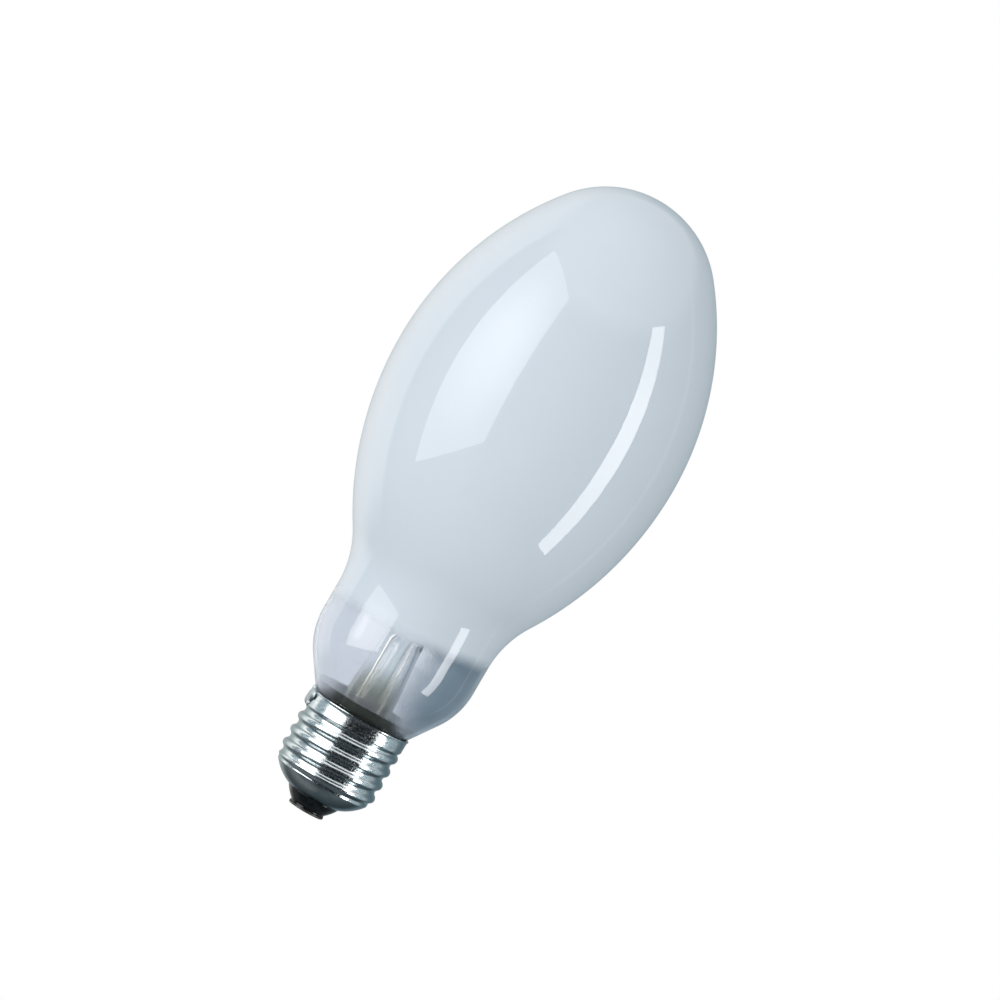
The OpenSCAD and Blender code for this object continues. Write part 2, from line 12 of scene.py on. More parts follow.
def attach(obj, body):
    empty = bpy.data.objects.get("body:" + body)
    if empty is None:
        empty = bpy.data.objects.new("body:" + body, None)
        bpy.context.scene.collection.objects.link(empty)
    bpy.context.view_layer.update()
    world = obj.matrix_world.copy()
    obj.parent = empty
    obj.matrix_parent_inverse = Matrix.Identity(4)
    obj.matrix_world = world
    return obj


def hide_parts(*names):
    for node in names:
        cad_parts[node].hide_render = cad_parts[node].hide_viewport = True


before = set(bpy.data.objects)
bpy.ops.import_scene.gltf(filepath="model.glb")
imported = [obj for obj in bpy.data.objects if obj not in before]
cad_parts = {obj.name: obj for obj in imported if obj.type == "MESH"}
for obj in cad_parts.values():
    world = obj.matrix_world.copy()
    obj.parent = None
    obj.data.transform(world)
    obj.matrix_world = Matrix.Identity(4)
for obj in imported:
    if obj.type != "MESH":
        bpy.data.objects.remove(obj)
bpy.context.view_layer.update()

MM = 0.001

# Bulb
BULB_R, LAMP_LENGTH, WIDEST_Z = 37.5, 168.6, 110.05
CROWN_R, SHOULDER_R = 26.1, 25.0
NECK_R, NECK_TOP, NECK_BOTTOM, NECK_ROUND = 20.7, 51.5, 44.3, 18.7
CONE_ANGLE = 34.5
THROAT_R, THROAT_ROUND, SEAL_Z = 11.1, 4.0, 14.2
GLASS_WALL = 0.9
COAT_EDGE, COAT_THICKNESS, COAT_FADE = 49.5, 0.1, 3.0
SEAT = 0.02

# Stem
STEM_R, STEM_WALL, STEM_SHOULDER = 6.2, 1.0, 46.0
PRESS_TOP, PRESS_HALF_WIDTH, PRESS_THICKNESS = 50.7, 4.4, 4.2
EXHAUST_R, EXHAUST_WALL, EXHAUST_TIP = 2.1, 0.5, 12.6
LEAD_R, LEAD_OFFSET, LEAD_PLANE = 0.4, 3.0, 15.0

# Cap
THREAD_MAJOR, THREAD_MINOR, THREAD_PITCH, CREST_Z = 26.3, 24.4, 3.629, 10.3
SHEET, COLLAR_R, COLLAR_START, COLLAR_BLEND = 0.3, 12.95, 23.4, 1.2
RIM_Z, RIM_FLARE = 26.6, 0.25
LIP_R, LIP_Z, DISH_R, DISH_TOP, THREAD_RISE = 6.9, 3.9, 12.0, 8.0, 1.6
CONTACT_R, CONTACT_THICKNESS, INSULATOR_TOP = 4.6, 0.5, 7.0


# Outlines, as lists of (radius, height)

def arc(centre, radius, start, end, steps=24):
    """Points on an arc, with angles in degrees."""
    angles = [radians(start + (end - start) * i / steps) for i in range(steps + 1)]
    return [(centre[0] + radius * cos(a), centre[1] + radius * sin(a)) for a in angles]


CROWN_Z = LAMP_LENGTH - CROWN_R
RISE = CROWN_Z - WIDEST_Z
UPPER_SIDE = (BULB_R ** 2 + RISE ** 2 - CROWN_R ** 2) / (2 * (BULB_R - CROWN_R))
CROWN_TURN = degrees(atan2(RISE, UPPER_SIDE - BULB_R))
FALL = WIDEST_Z - NECK_TOP
SHOULDER_IN = NECK_R + SHOULDER_R - BULB_R
LOWER_SIDE = (SHOULDER_IN ** 2 + FALL ** 2 - SHOULDER_R ** 2) / (2 * (SHOULDER_R - SHOULDER_IN))
SHOULDER_TURN = degrees(asin(FALL / (LOWER_SIDE + SHOULDER_R)))
CONE = radians(CONE_ANGLE)
CONE_TOP = (NECK_R - NECK_ROUND * (1 - cos(CONE)), NECK_BOTTOM - NECK_ROUND * sin(CONE))
CONE_FOOT_R = THROAT_R + THROAT_ROUND * (1 - cos(CONE))
CONE_FOOT_Z = CONE_TOP[1] - (CONE_TOP[0] - CONE_FOOT_R) / tan(CONE)
THROAT_TOP = CONE_FOOT_Z - THROAT_ROUND * sin(CONE)


def upper_outline(depth):
    """The bulb from crown to neck, at a depth below its outer surface."""
    return (
        arc((0, CROWN_Z), CROWN_R - depth, 90, CROWN_TURN, 32)
        + arc((BULB_R - UPPER_SIDE, WIDEST_Z), UPPER_SIDE - depth, CROWN_TURN, 0, 32)[1:]
        + arc((BULB_R - LOWER_SIDE, WIDEST_Z), LOWER_SIDE - depth, 0, -SHOULDER_TURN, 32)[1:]
        + arc((NECK_R + SHOULDER_R, NECK_TOP), SHOULDER_R + depth, 180 - SHOULDER_TURN, 180, 20)[1:]
    )


def lower_outline(depth):
    """The bulb from neck to throat."""
    return (
        arc((NECK_R - NECK_ROUND, NECK_BOTTOM), NECK_ROUND - depth, 0, -CONE_ANGLE, 24)
        + arc((THROAT_R + THROAT_ROUND, THROAT_TOP), THROAT_ROUND + depth, 180 - CONE_ANGLE, 180, 10)
        + [(THROAT_R - depth, SEAL_Z + 0.1)]
    )


# Meshes

def finished(name, bm, material, sharp=40):
    """Closes seams and poles, turns the faces outwards and makes the piece."""
    bmesh.ops.remove_doubles(bm, verts=bm.verts, dist=0.002 * MM)
    bmesh.ops.recalc_face_normals(bm, faces=bm.faces)
    mesh = bpy.data.meshes.new(name)
    bm.to_mesh(mesh)
    bm.free()
    mesh.shade_smooth()
    mesh.set_sharp_from_angle(angle=radians(sharp))
    piece = bpy.data.objects.new(name, mesh)
    bpy.context.scene.collection.objects.link(piece)
    for one in material if isinstance(material, list) else [material]:
        mesh.materials.append(one)
    return piece


def add_ring_faces(bm, outline, segments, closed):
    """Turns an outline round the lamp's axis into faces."""
    rings = []
    for radius, height in outline:
        rings.append([
            bm.verts.new((
                radius * cos(2 * pi * i / segments) * MM,
                radius * sin(2 * pi * i / segments) * MM,
                height * MM))
            for i in range(segments)])
    last = len(rings) if closed else len(rings) - 1
    for k in range(last):
        low, high = rings[k], rings[(k + 1) % len(rings)]
        for i in range(segments):
            j = (i + 1) % segments
            bm.faces.new((low[i], low[j], high[j], high[i]))


def revolved(name, outline, material, segments=160, closed=True, sharp=40):
    """A piece turned round the lamp's axis from a closed section."""
    bm = bmesh.new()
    add_ring_faces(bm, outline, segments, closed)
    bmesh.ops.remove_doubles(bm, verts=bm.verts, dist=0.002 * MM)
    bmesh.ops.dissolve_degenerate(bm, edges=bm.edges, dist=0.0005 * MM)
    return finished(name, bm, material, sharp)


def baked(name, host, material):
    """The evaluated object as a plain mesh piece, in place of the object with its modifiers."""
    graph = bpy.context.evaluated_depsgraph_get()
    mesh = bpy.data.meshes.new_from_object(host.evaluated_get(graph))
    bpy.data.objects.remove(host)
    mesh.name = name
    piece = bpy.data.objects.new(name, mesh)
    bpy.context.scene.collection.objects.link(piece)
    mesh.materials.clear()
    mesh.materials.append(material)
    return piece


# Shader helpers

class Tree:
    """Short names for building a node tree."""

    def __init__(self, nodes, links):
        self.nodes, self.links = nodes, links

    def node(self, kind, **values):
        made = self.nodes.new(kind)
        for key, value in values.items():
            setattr(made, key, value)
        return made

    def put(self, socket, value):
        if isinstance(value, bpy.types.NodeSocket):
            self.links.new(value, socket)
        elif value is not None:
            socket.default_value = value

    def maths(self, operation, *values, clamp=False):
        made = self.node("ShaderNodeMath", operation=operation, use_clamp=clamp)
        for socket, value in zip(made.inputs, values):
            self.put(socket, value)
        return made.outputs[0]

    def ramp(self, value, low, high, low_out=0.0, high_out=1.0):
        """A smooth step from one value to another."""
        made = self.node("ShaderNodeMapRange", interpolation_type="SMOOTHSTEP")
        for name, v in (("Value", value), ("From Min", low), ("From Max", high),
                        ("To Min", low_out), ("To Max", high_out)):
            self.put(made.inputs[name], v)
        return made.outputs["Result"]

    def mixed(self, factor, a, b):
        made = self.node("ShaderNodeMix", data_type="RGBA")
        self.put(made.inputs["Factor"], factor)
        self.put(made.inputs[6], a)
        self.put(made.inputs[7], b)
        return made.outputs[2]

    def noise(self, scale, detail=3.0, roughness=0.5, vector=None):
        made = self.node("ShaderNodeTexNoise")
        made.inputs["Scale"].default_value = scale
        made.inputs["Detail"].default_value = detail
        made.inputs["Roughness"].default_value = roughness
        if vector is not None:
            self.links.new(vector, made.inputs["Vector"])
        return made.outputs["Fac"]


def new_material(name):
    """A material with its tree, its Principled BSDF, its output and its Object coordinates."""
    material = bpy.data.materials.new(name)
    material.use_nodes = True
    tree = Tree(material.node_tree.nodes, material.node_tree.links)
    shader = material.node_tree.nodes["Principled BSDF"]
    output = material.node_tree.nodes["Material Output"]
    place = tree.node("ShaderNodeTexCoord").outputs["Object"]
    return material, tree, shader, output, place


def set_values(shader, **values):
    for name, value in values.items():
        shader.inputs[name.replace("_", " ")].default_value = value


def grain_group():
    """Fine uneven grain: a roughness and a bump height from noise of a given scale."""
    group = bpy.data.node_groups.new("surface_grain", "ShaderNodeTree")
    face = group.interface
    for name, kind, value in (
        ("Vector", "NodeSocketVector", None), ("Scale", "NodeSocketFloat", 300.0),
        ("Low Roughness", "NodeSocketFloat", 0.2), ("High Roughness", "NodeSocketFloat", 0.4),
        ("Depth", "NodeSocketFloat", 0.1),
    ):
        socket = face.new_socket(name, in_out="INPUT", socket_type=kind)
        if value is not None:
            socket.default_value = value
    for name, kind in (("Roughness", "NodeSocketFloat"), ("Height", "NodeSocketFloat")):
        face.new_socket(name, in_out="OUTPUT", socket_type=kind)
    tree = Tree(group.nodes, group.links)
    inside = tree.node("NodeGroupInput").outputs
    outside = tree.node("NodeGroupOutput").inputs
    made = tree.node("ShaderNodeTexNoise")
    made.inputs["Detail"].default_value = 4.0
    tree.links.new(inside["Vector"], made.inputs["Vector"])
    tree.links.new(inside["Scale"], made.inputs["Scale"])
    fac = made.outputs["Fac"]
    rough = tree.ramp(fac, 0.3, 0.7, inside["Low Roughness"], inside["High Roughness"])
    tree.links.new(rough, outside["Roughness"])
    tree.links.new(tree.maths("MULTIPLY", fac, inside["Depth"]), outside["Height"])
    return group


GRAIN = grain_group()


def add_grain(tree, shader, place, scale, low, high, depth, distance=0.0001):
    """Gives a shader uneven roughness and a fine bump."""
    grain = tree.node("ShaderNodeGroup", node_tree=GRAIN)
    tree.links.new(place, grain.inputs["Vector"])
    for name, value in (("Scale", scale), ("Low Roughness", low), ("High Roughness", high),
                        ("Depth", depth)):
        grain.inputs[name].default_value = value
    tree.links.new(grain.outputs["Roughness"], shader.inputs["Roughness"])
    bump = tree.node("ShaderNodeBump")
    bump.inputs["Distance"].default_value = distance
    tree.links.new(grain.outputs["Height"], bump.inputs["Height"])
    tree.links.new(bump.outputs["Normal"], shader.inputs["Normal"])
    return bump


def axes_of(tree, place):
    """X, Y and Z of the Object coordinates."""
    made = tree.node("ShaderNodeSeparateXYZ")
    tree.links.new(place, made.inputs[0])
    return made.outputs


def blend(tree, factor, first, second):
    """Two shaders mixed by a factor."""
    made = tree.node("ShaderNodeMixShader")
    for socket, value in zip(made.inputs, (factor, first, second)):
        tree.put(socket, value)
    return made.outputs[0]


def lets_light_through(tree, glass, tint):
    """Glass for the rays that make the picture, and a plain tint for those that carry light."""
    path = tree.node("ShaderNodeLightPath").outputs
    carries = tree.maths("MAXIMUM", path["Is Shadow Ray"], path["Is Diffuse Ray"])
    deep = tree.maths("GREATER_THAN", path["Transmission Depth"], 7.5)
    carries = tree.maths("MAXIMUM", carries, deep)
    clear = tree.node("ShaderNodeBsdfTransparent")
    clear.inputs["Color"].default_value = tint
    return blend(tree, carries, glass, clear.outputs[0])


def coat_group():
    """The powder's colour, its cover, which thins out over the clear neck, and its grain."""
    group = bpy.data.node_groups.new("powder_look", "ShaderNodeTree")
    face = group.interface
    face.new_socket("Vector", in_out="INPUT", socket_type="NodeSocketVector")
    for name, value in (("Edge", COAT_EDGE * MM), ("Fade", COAT_FADE * MM)):
        face.new_socket(name, in_out="INPUT", socket_type="NodeSocketFloat").default_value = value
    face.new_socket("Color", in_out="OUTPUT", socket_type="NodeSocketColor")
    for name in ("Cover", "Height"):
        face.new_socket(name, in_out="OUTPUT", socket_type="NodeSocketFloat")
    tree = Tree(group.nodes, group.links)
    given = tree.node("NodeGroupInput").outputs
    result = tree.node("NodeGroupOutput").inputs
    cloud = tree.ramp(tree.noise(22.0, 4.0, 0.55, given["Vector"]), 0.35, 0.65)
    colour = tree.mixed(cloud, COAT_TONES[0], COAT_TONES[1])
    wander = tree.maths("MULTIPLY_ADD", tree.noise(90.0, 3.0, 0.6, given["Vector"]), 0.0024, -0.0012)
    x, y, z = axes_of(tree, given["Vector"])[:3]
    lean = tree.maths("MULTIPLY_ADD", tree.maths("MAXIMUM", x, 0.0), -0.08, z)
    height = tree.maths("ADD", lean, wander)
    low = tree.maths("SUBTRACT", given["Edge"], tree.maths("MULTIPLY", given["Fade"], 0.5))
    high = tree.maths("ADD", given["Edge"], given["Fade"])
    tree.put(result["Color"], colour)
    tree.put(result["Cover"], tree.ramp(height, low, high))
    tree.put(result["Height"], tree.noise(900.0, 2.0, 0.5, given["Vector"]))
    return group


# Materials

COAT_TONES = ((0.775, 0.84, 0.905, 1), (0.80, 0.86, 0.915, 1))
POWDER = coat_group()
# Share of the light that the powder lets into the bulb
POWDER_PASSES = (0.92, 0.93, 0.94, 1)


def add_powder(tree, shader, place):
    """Gives a shader the look of the powder, and returns its cover."""
    look = tree.node("ShaderNodeGroup", node_tree=POWDER)
    tree.put(look.inputs["Vector"], place)
    tree.put(shader.inputs["Base Color"], look.outputs["Color"])
    set_values(shader, Roughness=0.9, Specular_IOR_Level=0.05)
    bump = tree.node("ShaderNodeBump")
    bump.inputs["Distance"].default_value = 0.00004
    tree.put(bump.inputs["Height"], look.outputs["Height"])
    tree.put(shader.inputs["Normal"], bump.outputs["Normal"])
    return look.outputs["Cover"]


def bulb_glass_material():
    """The bulb's outer wall, with the slight waves of blown glass."""
    material, tree, shader, output, place = new_material("clear_bulb_glass")
    set_values(shader, Base_Color=(1, 1, 1, 1), Transmission_Weight=1.0, Roughness=0.012, IOR=1.5)
    ripple = tree.node("ShaderNodeBump")
    ripple.inputs["Distance"].default_value = 0.0006
    ripple.inputs["Strength"].default_value = 0.2
    tree.put(ripple.inputs["Height"], tree.noise(28.0, 1.0, 0.4, place))
    tree.put(shader.inputs["Normal"], ripple.outputs["Normal"])
    tree.put(output.inputs["Surface"],
             lets_light_through(tree, shader.outputs[0], (0.97, 0.98, 0.985, 1)))
    return material


def inner_wall_material():
    """The bulb's inner wall: powder above, a light haze below, and painted shade: a dark blue-grey tint on
    the +X side of the neck for the dark studio seen through the clear glass, and a near-black band low in the
    neck for the shade of the cap's inside.
    """
    material, tree, shader, output, place = new_material("coated_wall_with_painted_shade")
    set_values(shader, Base_Color=(1, 1, 1, 1), Transmission_Weight=1.0, Roughness=0.0, IOR=1.5)
    glass = lets_light_through(tree, shader.outputs[0], (0.97, 0.98, 0.985, 1))
    x, y, z = axes_of(tree, place)[:3]
    wander = tree.maths("MULTIPLY_ADD", tree.noise(60.0, 3.0, 0.6, place), 0.012, -0.006)
    # Painted shade: side masks the +X side of the neck, where a dark blue-grey tint stands for the dark
    # studio seen through the clear glass
    side = tree.ramp(tree.maths("ADD", x, wander), -0.003, 0.0155)
    # Painted shade: low masks a band about 30 mm up, strongest near the axis, where a near-black olive tint
    # stands for the shade of the cap's inside and far rim seen through the glass
    low = tree.ramp(tree.maths("MULTIPLY_ADD", wander, 0.1, z), 0.0296, 0.0306, 1.0, 0.0)
    off = tree.ramp(tree.maths("ABSOLUTE", x), 0.0065, 0.0125, 1.0, 0.45)
    low = tree.maths("MULTIPLY", low, off)
    painted_side_shade = tree.maths("MULTIPLY", side, 0.7)
    alpha = tree.maths("MAXIMUM", 0.16, painted_side_shade)
    alpha = tree.maths("MAXIMUM", alpha, tree.maths("MULTIPLY", low, 0.88))
    # Haze colour, turned to the painted side shade and then to the painted low shade
    colour = tree.mixed(side, (0.66, 0.70, 0.80, 1), (0.115, 0.2, 0.27, 1))
    colour = tree.mixed(low, colour, (0.035, 0.04, 0.035, 1))
    haze_and_painted_shade = tree.node("ShaderNodeBsdfPrincipled")
    tree.put(haze_and_painted_shade.inputs["Base Color"], colour)
    set_values(haze_and_painted_shade, Roughness=0.5, Specular_IOR_Level=0.1)
    coat = tree.node("ShaderNodeBsdfPrincipled")
    cover = add_powder(tree, coat, place)
    glass_with_painted_shade = blend(tree, alpha, glass, haze_and_painted_shade.outputs[0])
    powdered = lets_light_through(tree, coat.outputs[0], POWDER_PASSES)
    tree.put(output.inputs["Surface"], blend(tree, cover, glass_with_painted_shade, powdered))
    return material


def coat_material():
    """White powder on the inside of the glass."""
    material, tree, shader, output, place = new_material("white_powder_coat")
    cover = add_powder(tree, shader, place)
    tree.put(shader.inputs["Alpha"], tree.ramp(cover, 0.0, 0.5))
    tree.put(output.inputs["Surface"], lets_light_through(tree, shader.outputs[0], POWDER_PASSES))
    return material


def stem_glass_material():
    material, tree, shader, output, place = new_material("stem_glass")
    set_values(shader, Transmission_Weight=1.0, IOR=1.5, Specular_IOR_Level=1.0)
    # Painted shade: the stem glass turns dark olive below about 29 to 41 mm, for the dark inside of the cap
    # mirrored in it
    painted_cap_shade = tree.ramp(axes_of(tree, place)[2], 0.029, 0.041)
    tree.put(shader.inputs["Base Color"],
             tree.mixed(painted_cap_shade, (0.36, 0.37, 0.27, 1), (0.98, 0.99, 0.985, 1)))
    streak = tree.node("ShaderNodeMapping")
    streak.inputs["Scale"].default_value = (1.0, 1.0, 0.02)
    tree.put(streak.inputs["Vector"], place)
    lines = tree.noise(700.0, 2.0, 0.5, streak.outputs[0])
    tree.put(shader.inputs["Roughness"], tree.ramp(lines, 0.3, 0.7, 0.0, 0.03))
    bump = tree.node("ShaderNodeBump")
    bump.inputs["Distance"].default_value = 0.000005
    tree.put(bump.inputs["Height"], lines)
    tree.put(shader.inputs["Normal"], bump.outputs["Normal"])
    tree.put(output.inputs["Surface"],
             lets_light_through(tree, shader.outputs[0], (0.95, 0.96, 0.955, 1)))
    return material


def plated_material():
    """Thin bright plating on rolled sheet: drawn lines round the axis, dull patches, and a painted
    reflection: a dark teal grey where the sheet turns away from the lens.
    """
    material, tree, shader, output, place = new_material("plated_sheet")
    set_values(shader, Metallic=1.0)
    blotch = tree.noise(260.0, 5.0, 0.65, place)
    colour = tree.mixed(tree.ramp(blotch, 0.35, 0.7), (0.80, 0.84, 0.85, 1), (0.62, 0.67, 0.69, 1))
    # Painted reflection: the base colour turns dark teal grey at grazing angles, for the dim teal studio the
    # metal mirrors at its edges
    facing = tree.node("ShaderNodeLayerWeight")
    facing.inputs["Blend"].default_value = 0.5
    painted_edge_reflection = tree.ramp(facing.outputs["Facing"], 0.28, 0.7)
    colour = tree.mixed(painted_edge_reflection, colour, (0.17, 0.24, 0.26, 1))
    tree.links.new(colour, shader.inputs["Base Color"])
    bump = add_grain(tree, shader, place, 2200.0, 0.1, 0.29, 0.2, 0.00004)
    lines = tree.node("ShaderNodeMapping")
    lines.inputs["Scale"].default_value = (0.05, 0.05, 1.0)
    tree.links.new(place, lines.inputs["Vector"])
    drawn = tree.node("ShaderNodeBump")
    drawn.inputs["Distance"].default_value = 0.00004
    tree.links.new(tree.noise(3000.0, 2.0, 0.5, lines.outputs[0]), drawn.inputs["Height"])
    tree.links.new(bump.outputs["Normal"], drawn.inputs["Normal"])
    tree.links.new(drawn.outputs["Normal"], shader.inputs["Normal"])
    return material


def solder_material():
    material, tree, shader, output, place = new_material("rim_solder")
    set_values(shader, Metallic=1.0)
    colour = tree.mixed(tree.ramp(tree.noise(500.0, 4.0, 0.6, place), 0.35, 0.65),
                        (0.5, 0.55, 0.57, 1), (0.3, 0.35, 0.37, 1))
    tree.links.new(colour, shader.inputs["Base Color"])
    add_grain(tree, shader, place, 700.0, 0.28, 0.5, 1.0, 0.0003)
    return material


def cement_material():
    material, tree, shader, output, place = new_material("basing_cement")
    colour = tree.mixed(tree.ramp(tree.noise(400.0, 5.0, 0.65, place), 0.35, 0.65),
                        (0.12, 0.12, 0.11, 1), (0.05, 0.052, 0.05, 1))
    tree.links.new(colour, shader.inputs["Base Color"])
    add_grain(tree, shader, place, 1200.0, 0.7, 0.95, 1.0, 0.0003)
    return material


def black_glass_material():
    material, tree, shader, output, place = new_material("black_moulded_glass")
    colour = tree.mixed(tree.ramp(tree.noise(350.0, 3.0, 0.6, place), 0.4, 0.7),
                        (0.004, 0.005, 0.006, 1), (0.012, 0.014, 0.016, 1))
    tree.links.new(colour, shader.inputs["Base Color"])
    set_values(shader, IOR=1.5, Specular_IOR_Level=0.3)
    add_grain(tree, shader, place, 300.0, 0.08, 0.3, 1.0, 0.0002)
    return material


def metal_material(name, bright, dull, scale, low, high, depth=0.5):
    """Wire, ribbon or stamped metal of two close tones."""
    material, tree, shader, output, place = new_material(name)
    set_values(shader, Metallic=1.0)
    colour = tree.mixed(tree.ramp(tree.noise(scale, 3.0, 0.6, place), 0.35, 0.65), bright, dull)
    tree.links.new(colour, shader.inputs["Base Color"])
    add_grain(tree, shader, place, scale * 3, low, high, depth, 0.00005)
    return material


def ceramic_material():
    material, tree, shader, output, place = new_material("sintered_ceramic")
    colour = tree.mixed(tree.ramp(tree.noise(200.0, 3.0, 0.6, place), 0.4, 0.6),
                        (0.86, 0.85, 0.8, 1), (0.8, 0.79, 0.74, 1))
    tree.links.new(colour, shader.inputs["Base Color"])
    set_values(shader, Subsurface_Weight=0.3, Subsurface_Scale=0.002)
    add_grain(tree, shader, place, 900.0, 0.3, 0.45, 0.5, 0.00005)
    return material


bulb_glass = bulb_glass_material()
inner_wall_glass = inner_wall_material()
powder = coat_material()
stem_glass = stem_glass_material()
plating = plated_material()
solder = solder_material()
cement = cement_material()
black_glass = black_glass_material()
ceramic = ceramic_material()
brass = metal_material("contact_brass", (0.15, 0.15, 0.14, 1), (0.1, 0.1, 0.09, 1), 400, 0.55, 0.7, 0.0)
seal_wire = metal_material("sealing_wire", (0.95, 0.93, 0.9, 1), (0.86, 0.83, 0.78, 1), 200, 0.14, 0.22, 0.02)
frame_wire = metal_material("frame_wire", (0.62, 0.62, 0.6, 1), (0.5, 0.5, 0.49, 1), 400, 0.2, 0.35)
niobium = metal_material("niobium", (0.4, 0.4, 0.42, 1), (0.32, 0.32, 0.35, 1), 400, 0.3, 0.45)
tungsten = metal_material("tungsten", (0.26, 0.26, 0.28, 1), (0.18, 0.18, 0.2, 1), 500, 0.3, 0.5)
getter_metal = metal_material("getter_metal", (0.38, 0.4, 0.43, 1), (0.24, 0.26, 0.29, 1), 500, 0.25, 0.5)


# Pieces of the bulb

def make_bulb():
    """Outer and inner wall in one closed shell; the inner wall carries the powder, a light haze and painted
    shade.
    """
    outside = upper_outline(0) + lower_outline(0)
    inside = upper_outline(GLASS_WALL) + lower_outline(GLASS_WALL)
    piece = revolved("bulb_glass", outside + inside[::-1], [bulb_glass, inner_wall_glass])
    for face in piece.data.polygons:
        middle = face.center
        inwards = middle.x * face.normal.x + middle.y * face.normal.y
        crown_side = middle.z > CROWN_Z * MM and face.normal.z < 0
        if inwards < 0 or crown_side:
            face.material_index = 1
    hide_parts("outer_bulb")
    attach(piece, "root")


def make_coat():
    outside = GLASS_WALL + SEAT
    inside = outside + COAT_THICKNESS
    foot = COAT_EDGE - COAT_FADE / 2 - 2
    fade = [foot + (NECK_TOP - foot) * i / 8 for i in range(7, -1, -1)]
    section = (
        upper_outline(outside) + [(NECK_R - outside, z) for z in fade]
        + [(NECK_R - inside, z) for z in fade[::-1]] + upper_outline(inside)[::-1]
    )
    piece = revolved("powder_coat", section, powder)
    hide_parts("diffusing_coat")
    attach(piece, "root")


# Pieces of the stem

def pinched(height, low, high, start, end):
    """A value that runs smoothly from one to another between two heights."""
    t = min(max((height - low) / (high - low), 0), 1)
    return start + (end - start) * t * t * (3 - 2 * t)


def oval_ring(bm, half_width, half_depth, power, height, segments=96):
    """A ring between ellipse and rounded rectangle, turned into the plane of the leads."""
    turn = Matrix.Rotation(radians(LEAD_PLANE), 3, "Z")
    ring = []
    for i in range(segments):
        c, s = cos(2 * pi * i / segments), sin(2 * pi * i / segments)
        x = half_width * abs(c) ** (2 / power) * (1 if c >= 0 else -1)
        y = half_depth * abs(s) ** (2 / power) * (1 if s >= 0 else -1)
        ring.append(bm.verts.new(turn @ Vector((x, y, height)) * MM))
    return ring


def make_stem():
    """A flared tube that is pinched into a flat press round the lead wires."""
    flare = THROAT_R - STEM_R
    foot = SEAL_Z + flare
    outer = [(r, r, 2, z) for r, z in arc((THROAT_R, foot), flare, 270, 180, 20)]
    inner = [(r, r, 2, z) for r, z in arc((THROAT_R, foot), flare + STEM_WALL, 270, 180, 20)]
    steps = 60

    def tube(z, wall):
        return (pinched(z, 30, 49.5, STEM_R, PRESS_HALF_WIDTH + 0.3) - wall,
                pinched(z, 46, 49.4, STEM_R, PRESS_THICKNESS / 2) - wall,
                pinched(z, 46, 49.2, 2, 3.6), z)

    for i in range(1, steps + 1):
        outer.append(tube(foot + (PRESS_TOP - 1 - foot) * i / steps, 0))
    wide, deep, power = outer[-1][:3]
    for i in range(1, 7):
        turn = pi / 2 * i / 6
        drawn = 0.9 * (1 - cos(turn))
        outer.append((wide - drawn, deep - drawn, power, PRESS_TOP - 1 + sin(turn)))
    top, dome = 49.3, 0.9
    for i in range(1, steps + 1):
        inner.append(tube(foot + (top - dome - foot) * i / steps, STEM_WALL))
    wide, deep, power = inner[-1][:3]
    for i in range(1, 9):
        turn = pi / 2 * i / 8.5
        inner.append((wide * cos(turn) ** 0.6, deep * cos(turn), power, top - dome + dome * sin(turn)))
    bm = bmesh.new()
    shells = [[oval_ring(bm, *values) for values in side] for side in (outer, inner)]
    for rings in shells:
        for low, high in zip(rings, rings[1:]):
            for i in range(len(low)):
                j = (i + 1) % len(low)
                bm.faces.new((low[i], low[j], high[j], high[i]))
        bm.faces.new(rings[-1])
    low, high = shells[0][0], shells[1][0]
    for i in range(len(low)):
        j = (i + 1) % len(low)
        bm.faces.new((low[i], low[j], high[j], high[i]))
    piece = finished("stem_glass", bm, stem_glass, 60)
    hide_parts("stem")
    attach(piece, "root")


def make_exhaust_tube():
    bore = EXHAUST_R - EXHAUST_WALL
    top = 47.8
    section = (
        [(0, EXHAUST_TIP)] + arc((0.35, EXHAUST_TIP + 0.45), 0.45, 270, 345, 5)
        + [(EXHAUST_R, EXHAUST_TIP + 3), (EXHAUST_R, top), (bore, top),
           (bore, EXHAUST_TIP + 3.5), (0, EXHAUST_TIP + 2)]
    )
    piece = revolved("exhaust_glass", section, stem_glass, segments=64)
    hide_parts("exhaust_tube")
    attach(piece, "root")


# Pieces of the cap

def shell_profile():
    """The shell's outer outline from lip to rim, without the thread's ridge."""
    root = THREAD_MINOR / 2
    chord = (root - LIP_R, DISH_TOP - LIP_Z)
    length = hypot(*chord)
    sag = sqrt(DISH_R ** 2 - length ** 2 / 4)
    centre = (LIP_R + chord[0] / 2 - chord[1] / length * sag,
              LIP_Z + chord[1] / 2 + chord[0] / length * sag)
    start = degrees(atan2(LIP_Z - centre[1], LIP_R - centre[0]))
    end = degrees(atan2(DISH_TOP - centre[1], root - centre[0]))
    dish = arc(centre, DISH_R, start, end, 12)
    steps = 128
    blend_from = COLLAR_START - COLLAR_BLEND
    thread = []
    for i in range(1, steps + 1):
        z = DISH_TOP + (COLLAR_START - DISH_TOP) * i / steps
        t = min(max((z - blend_from) / COLLAR_BLEND, 0), 1)
        thread.append((root + (COLLAR_R - root) * t * t * (3 - 2 * t), z))
    collar = [(COLLAR_R, RIM_Z - 2), (COLLAR_R, RIM_Z - 1.2)]
    flare = [(COLLAR_R + RIM_FLARE * (k / 6) ** 2, RIM_Z - 1.1 + 0.92 * k / 6) for k in range(7)]
    bead = arc((COLLAR_R + RIM_FLARE - 0.18, RIM_Z - 0.18), 0.18, 12, 90, 6)
    return dish + thread + collar + flare + bead


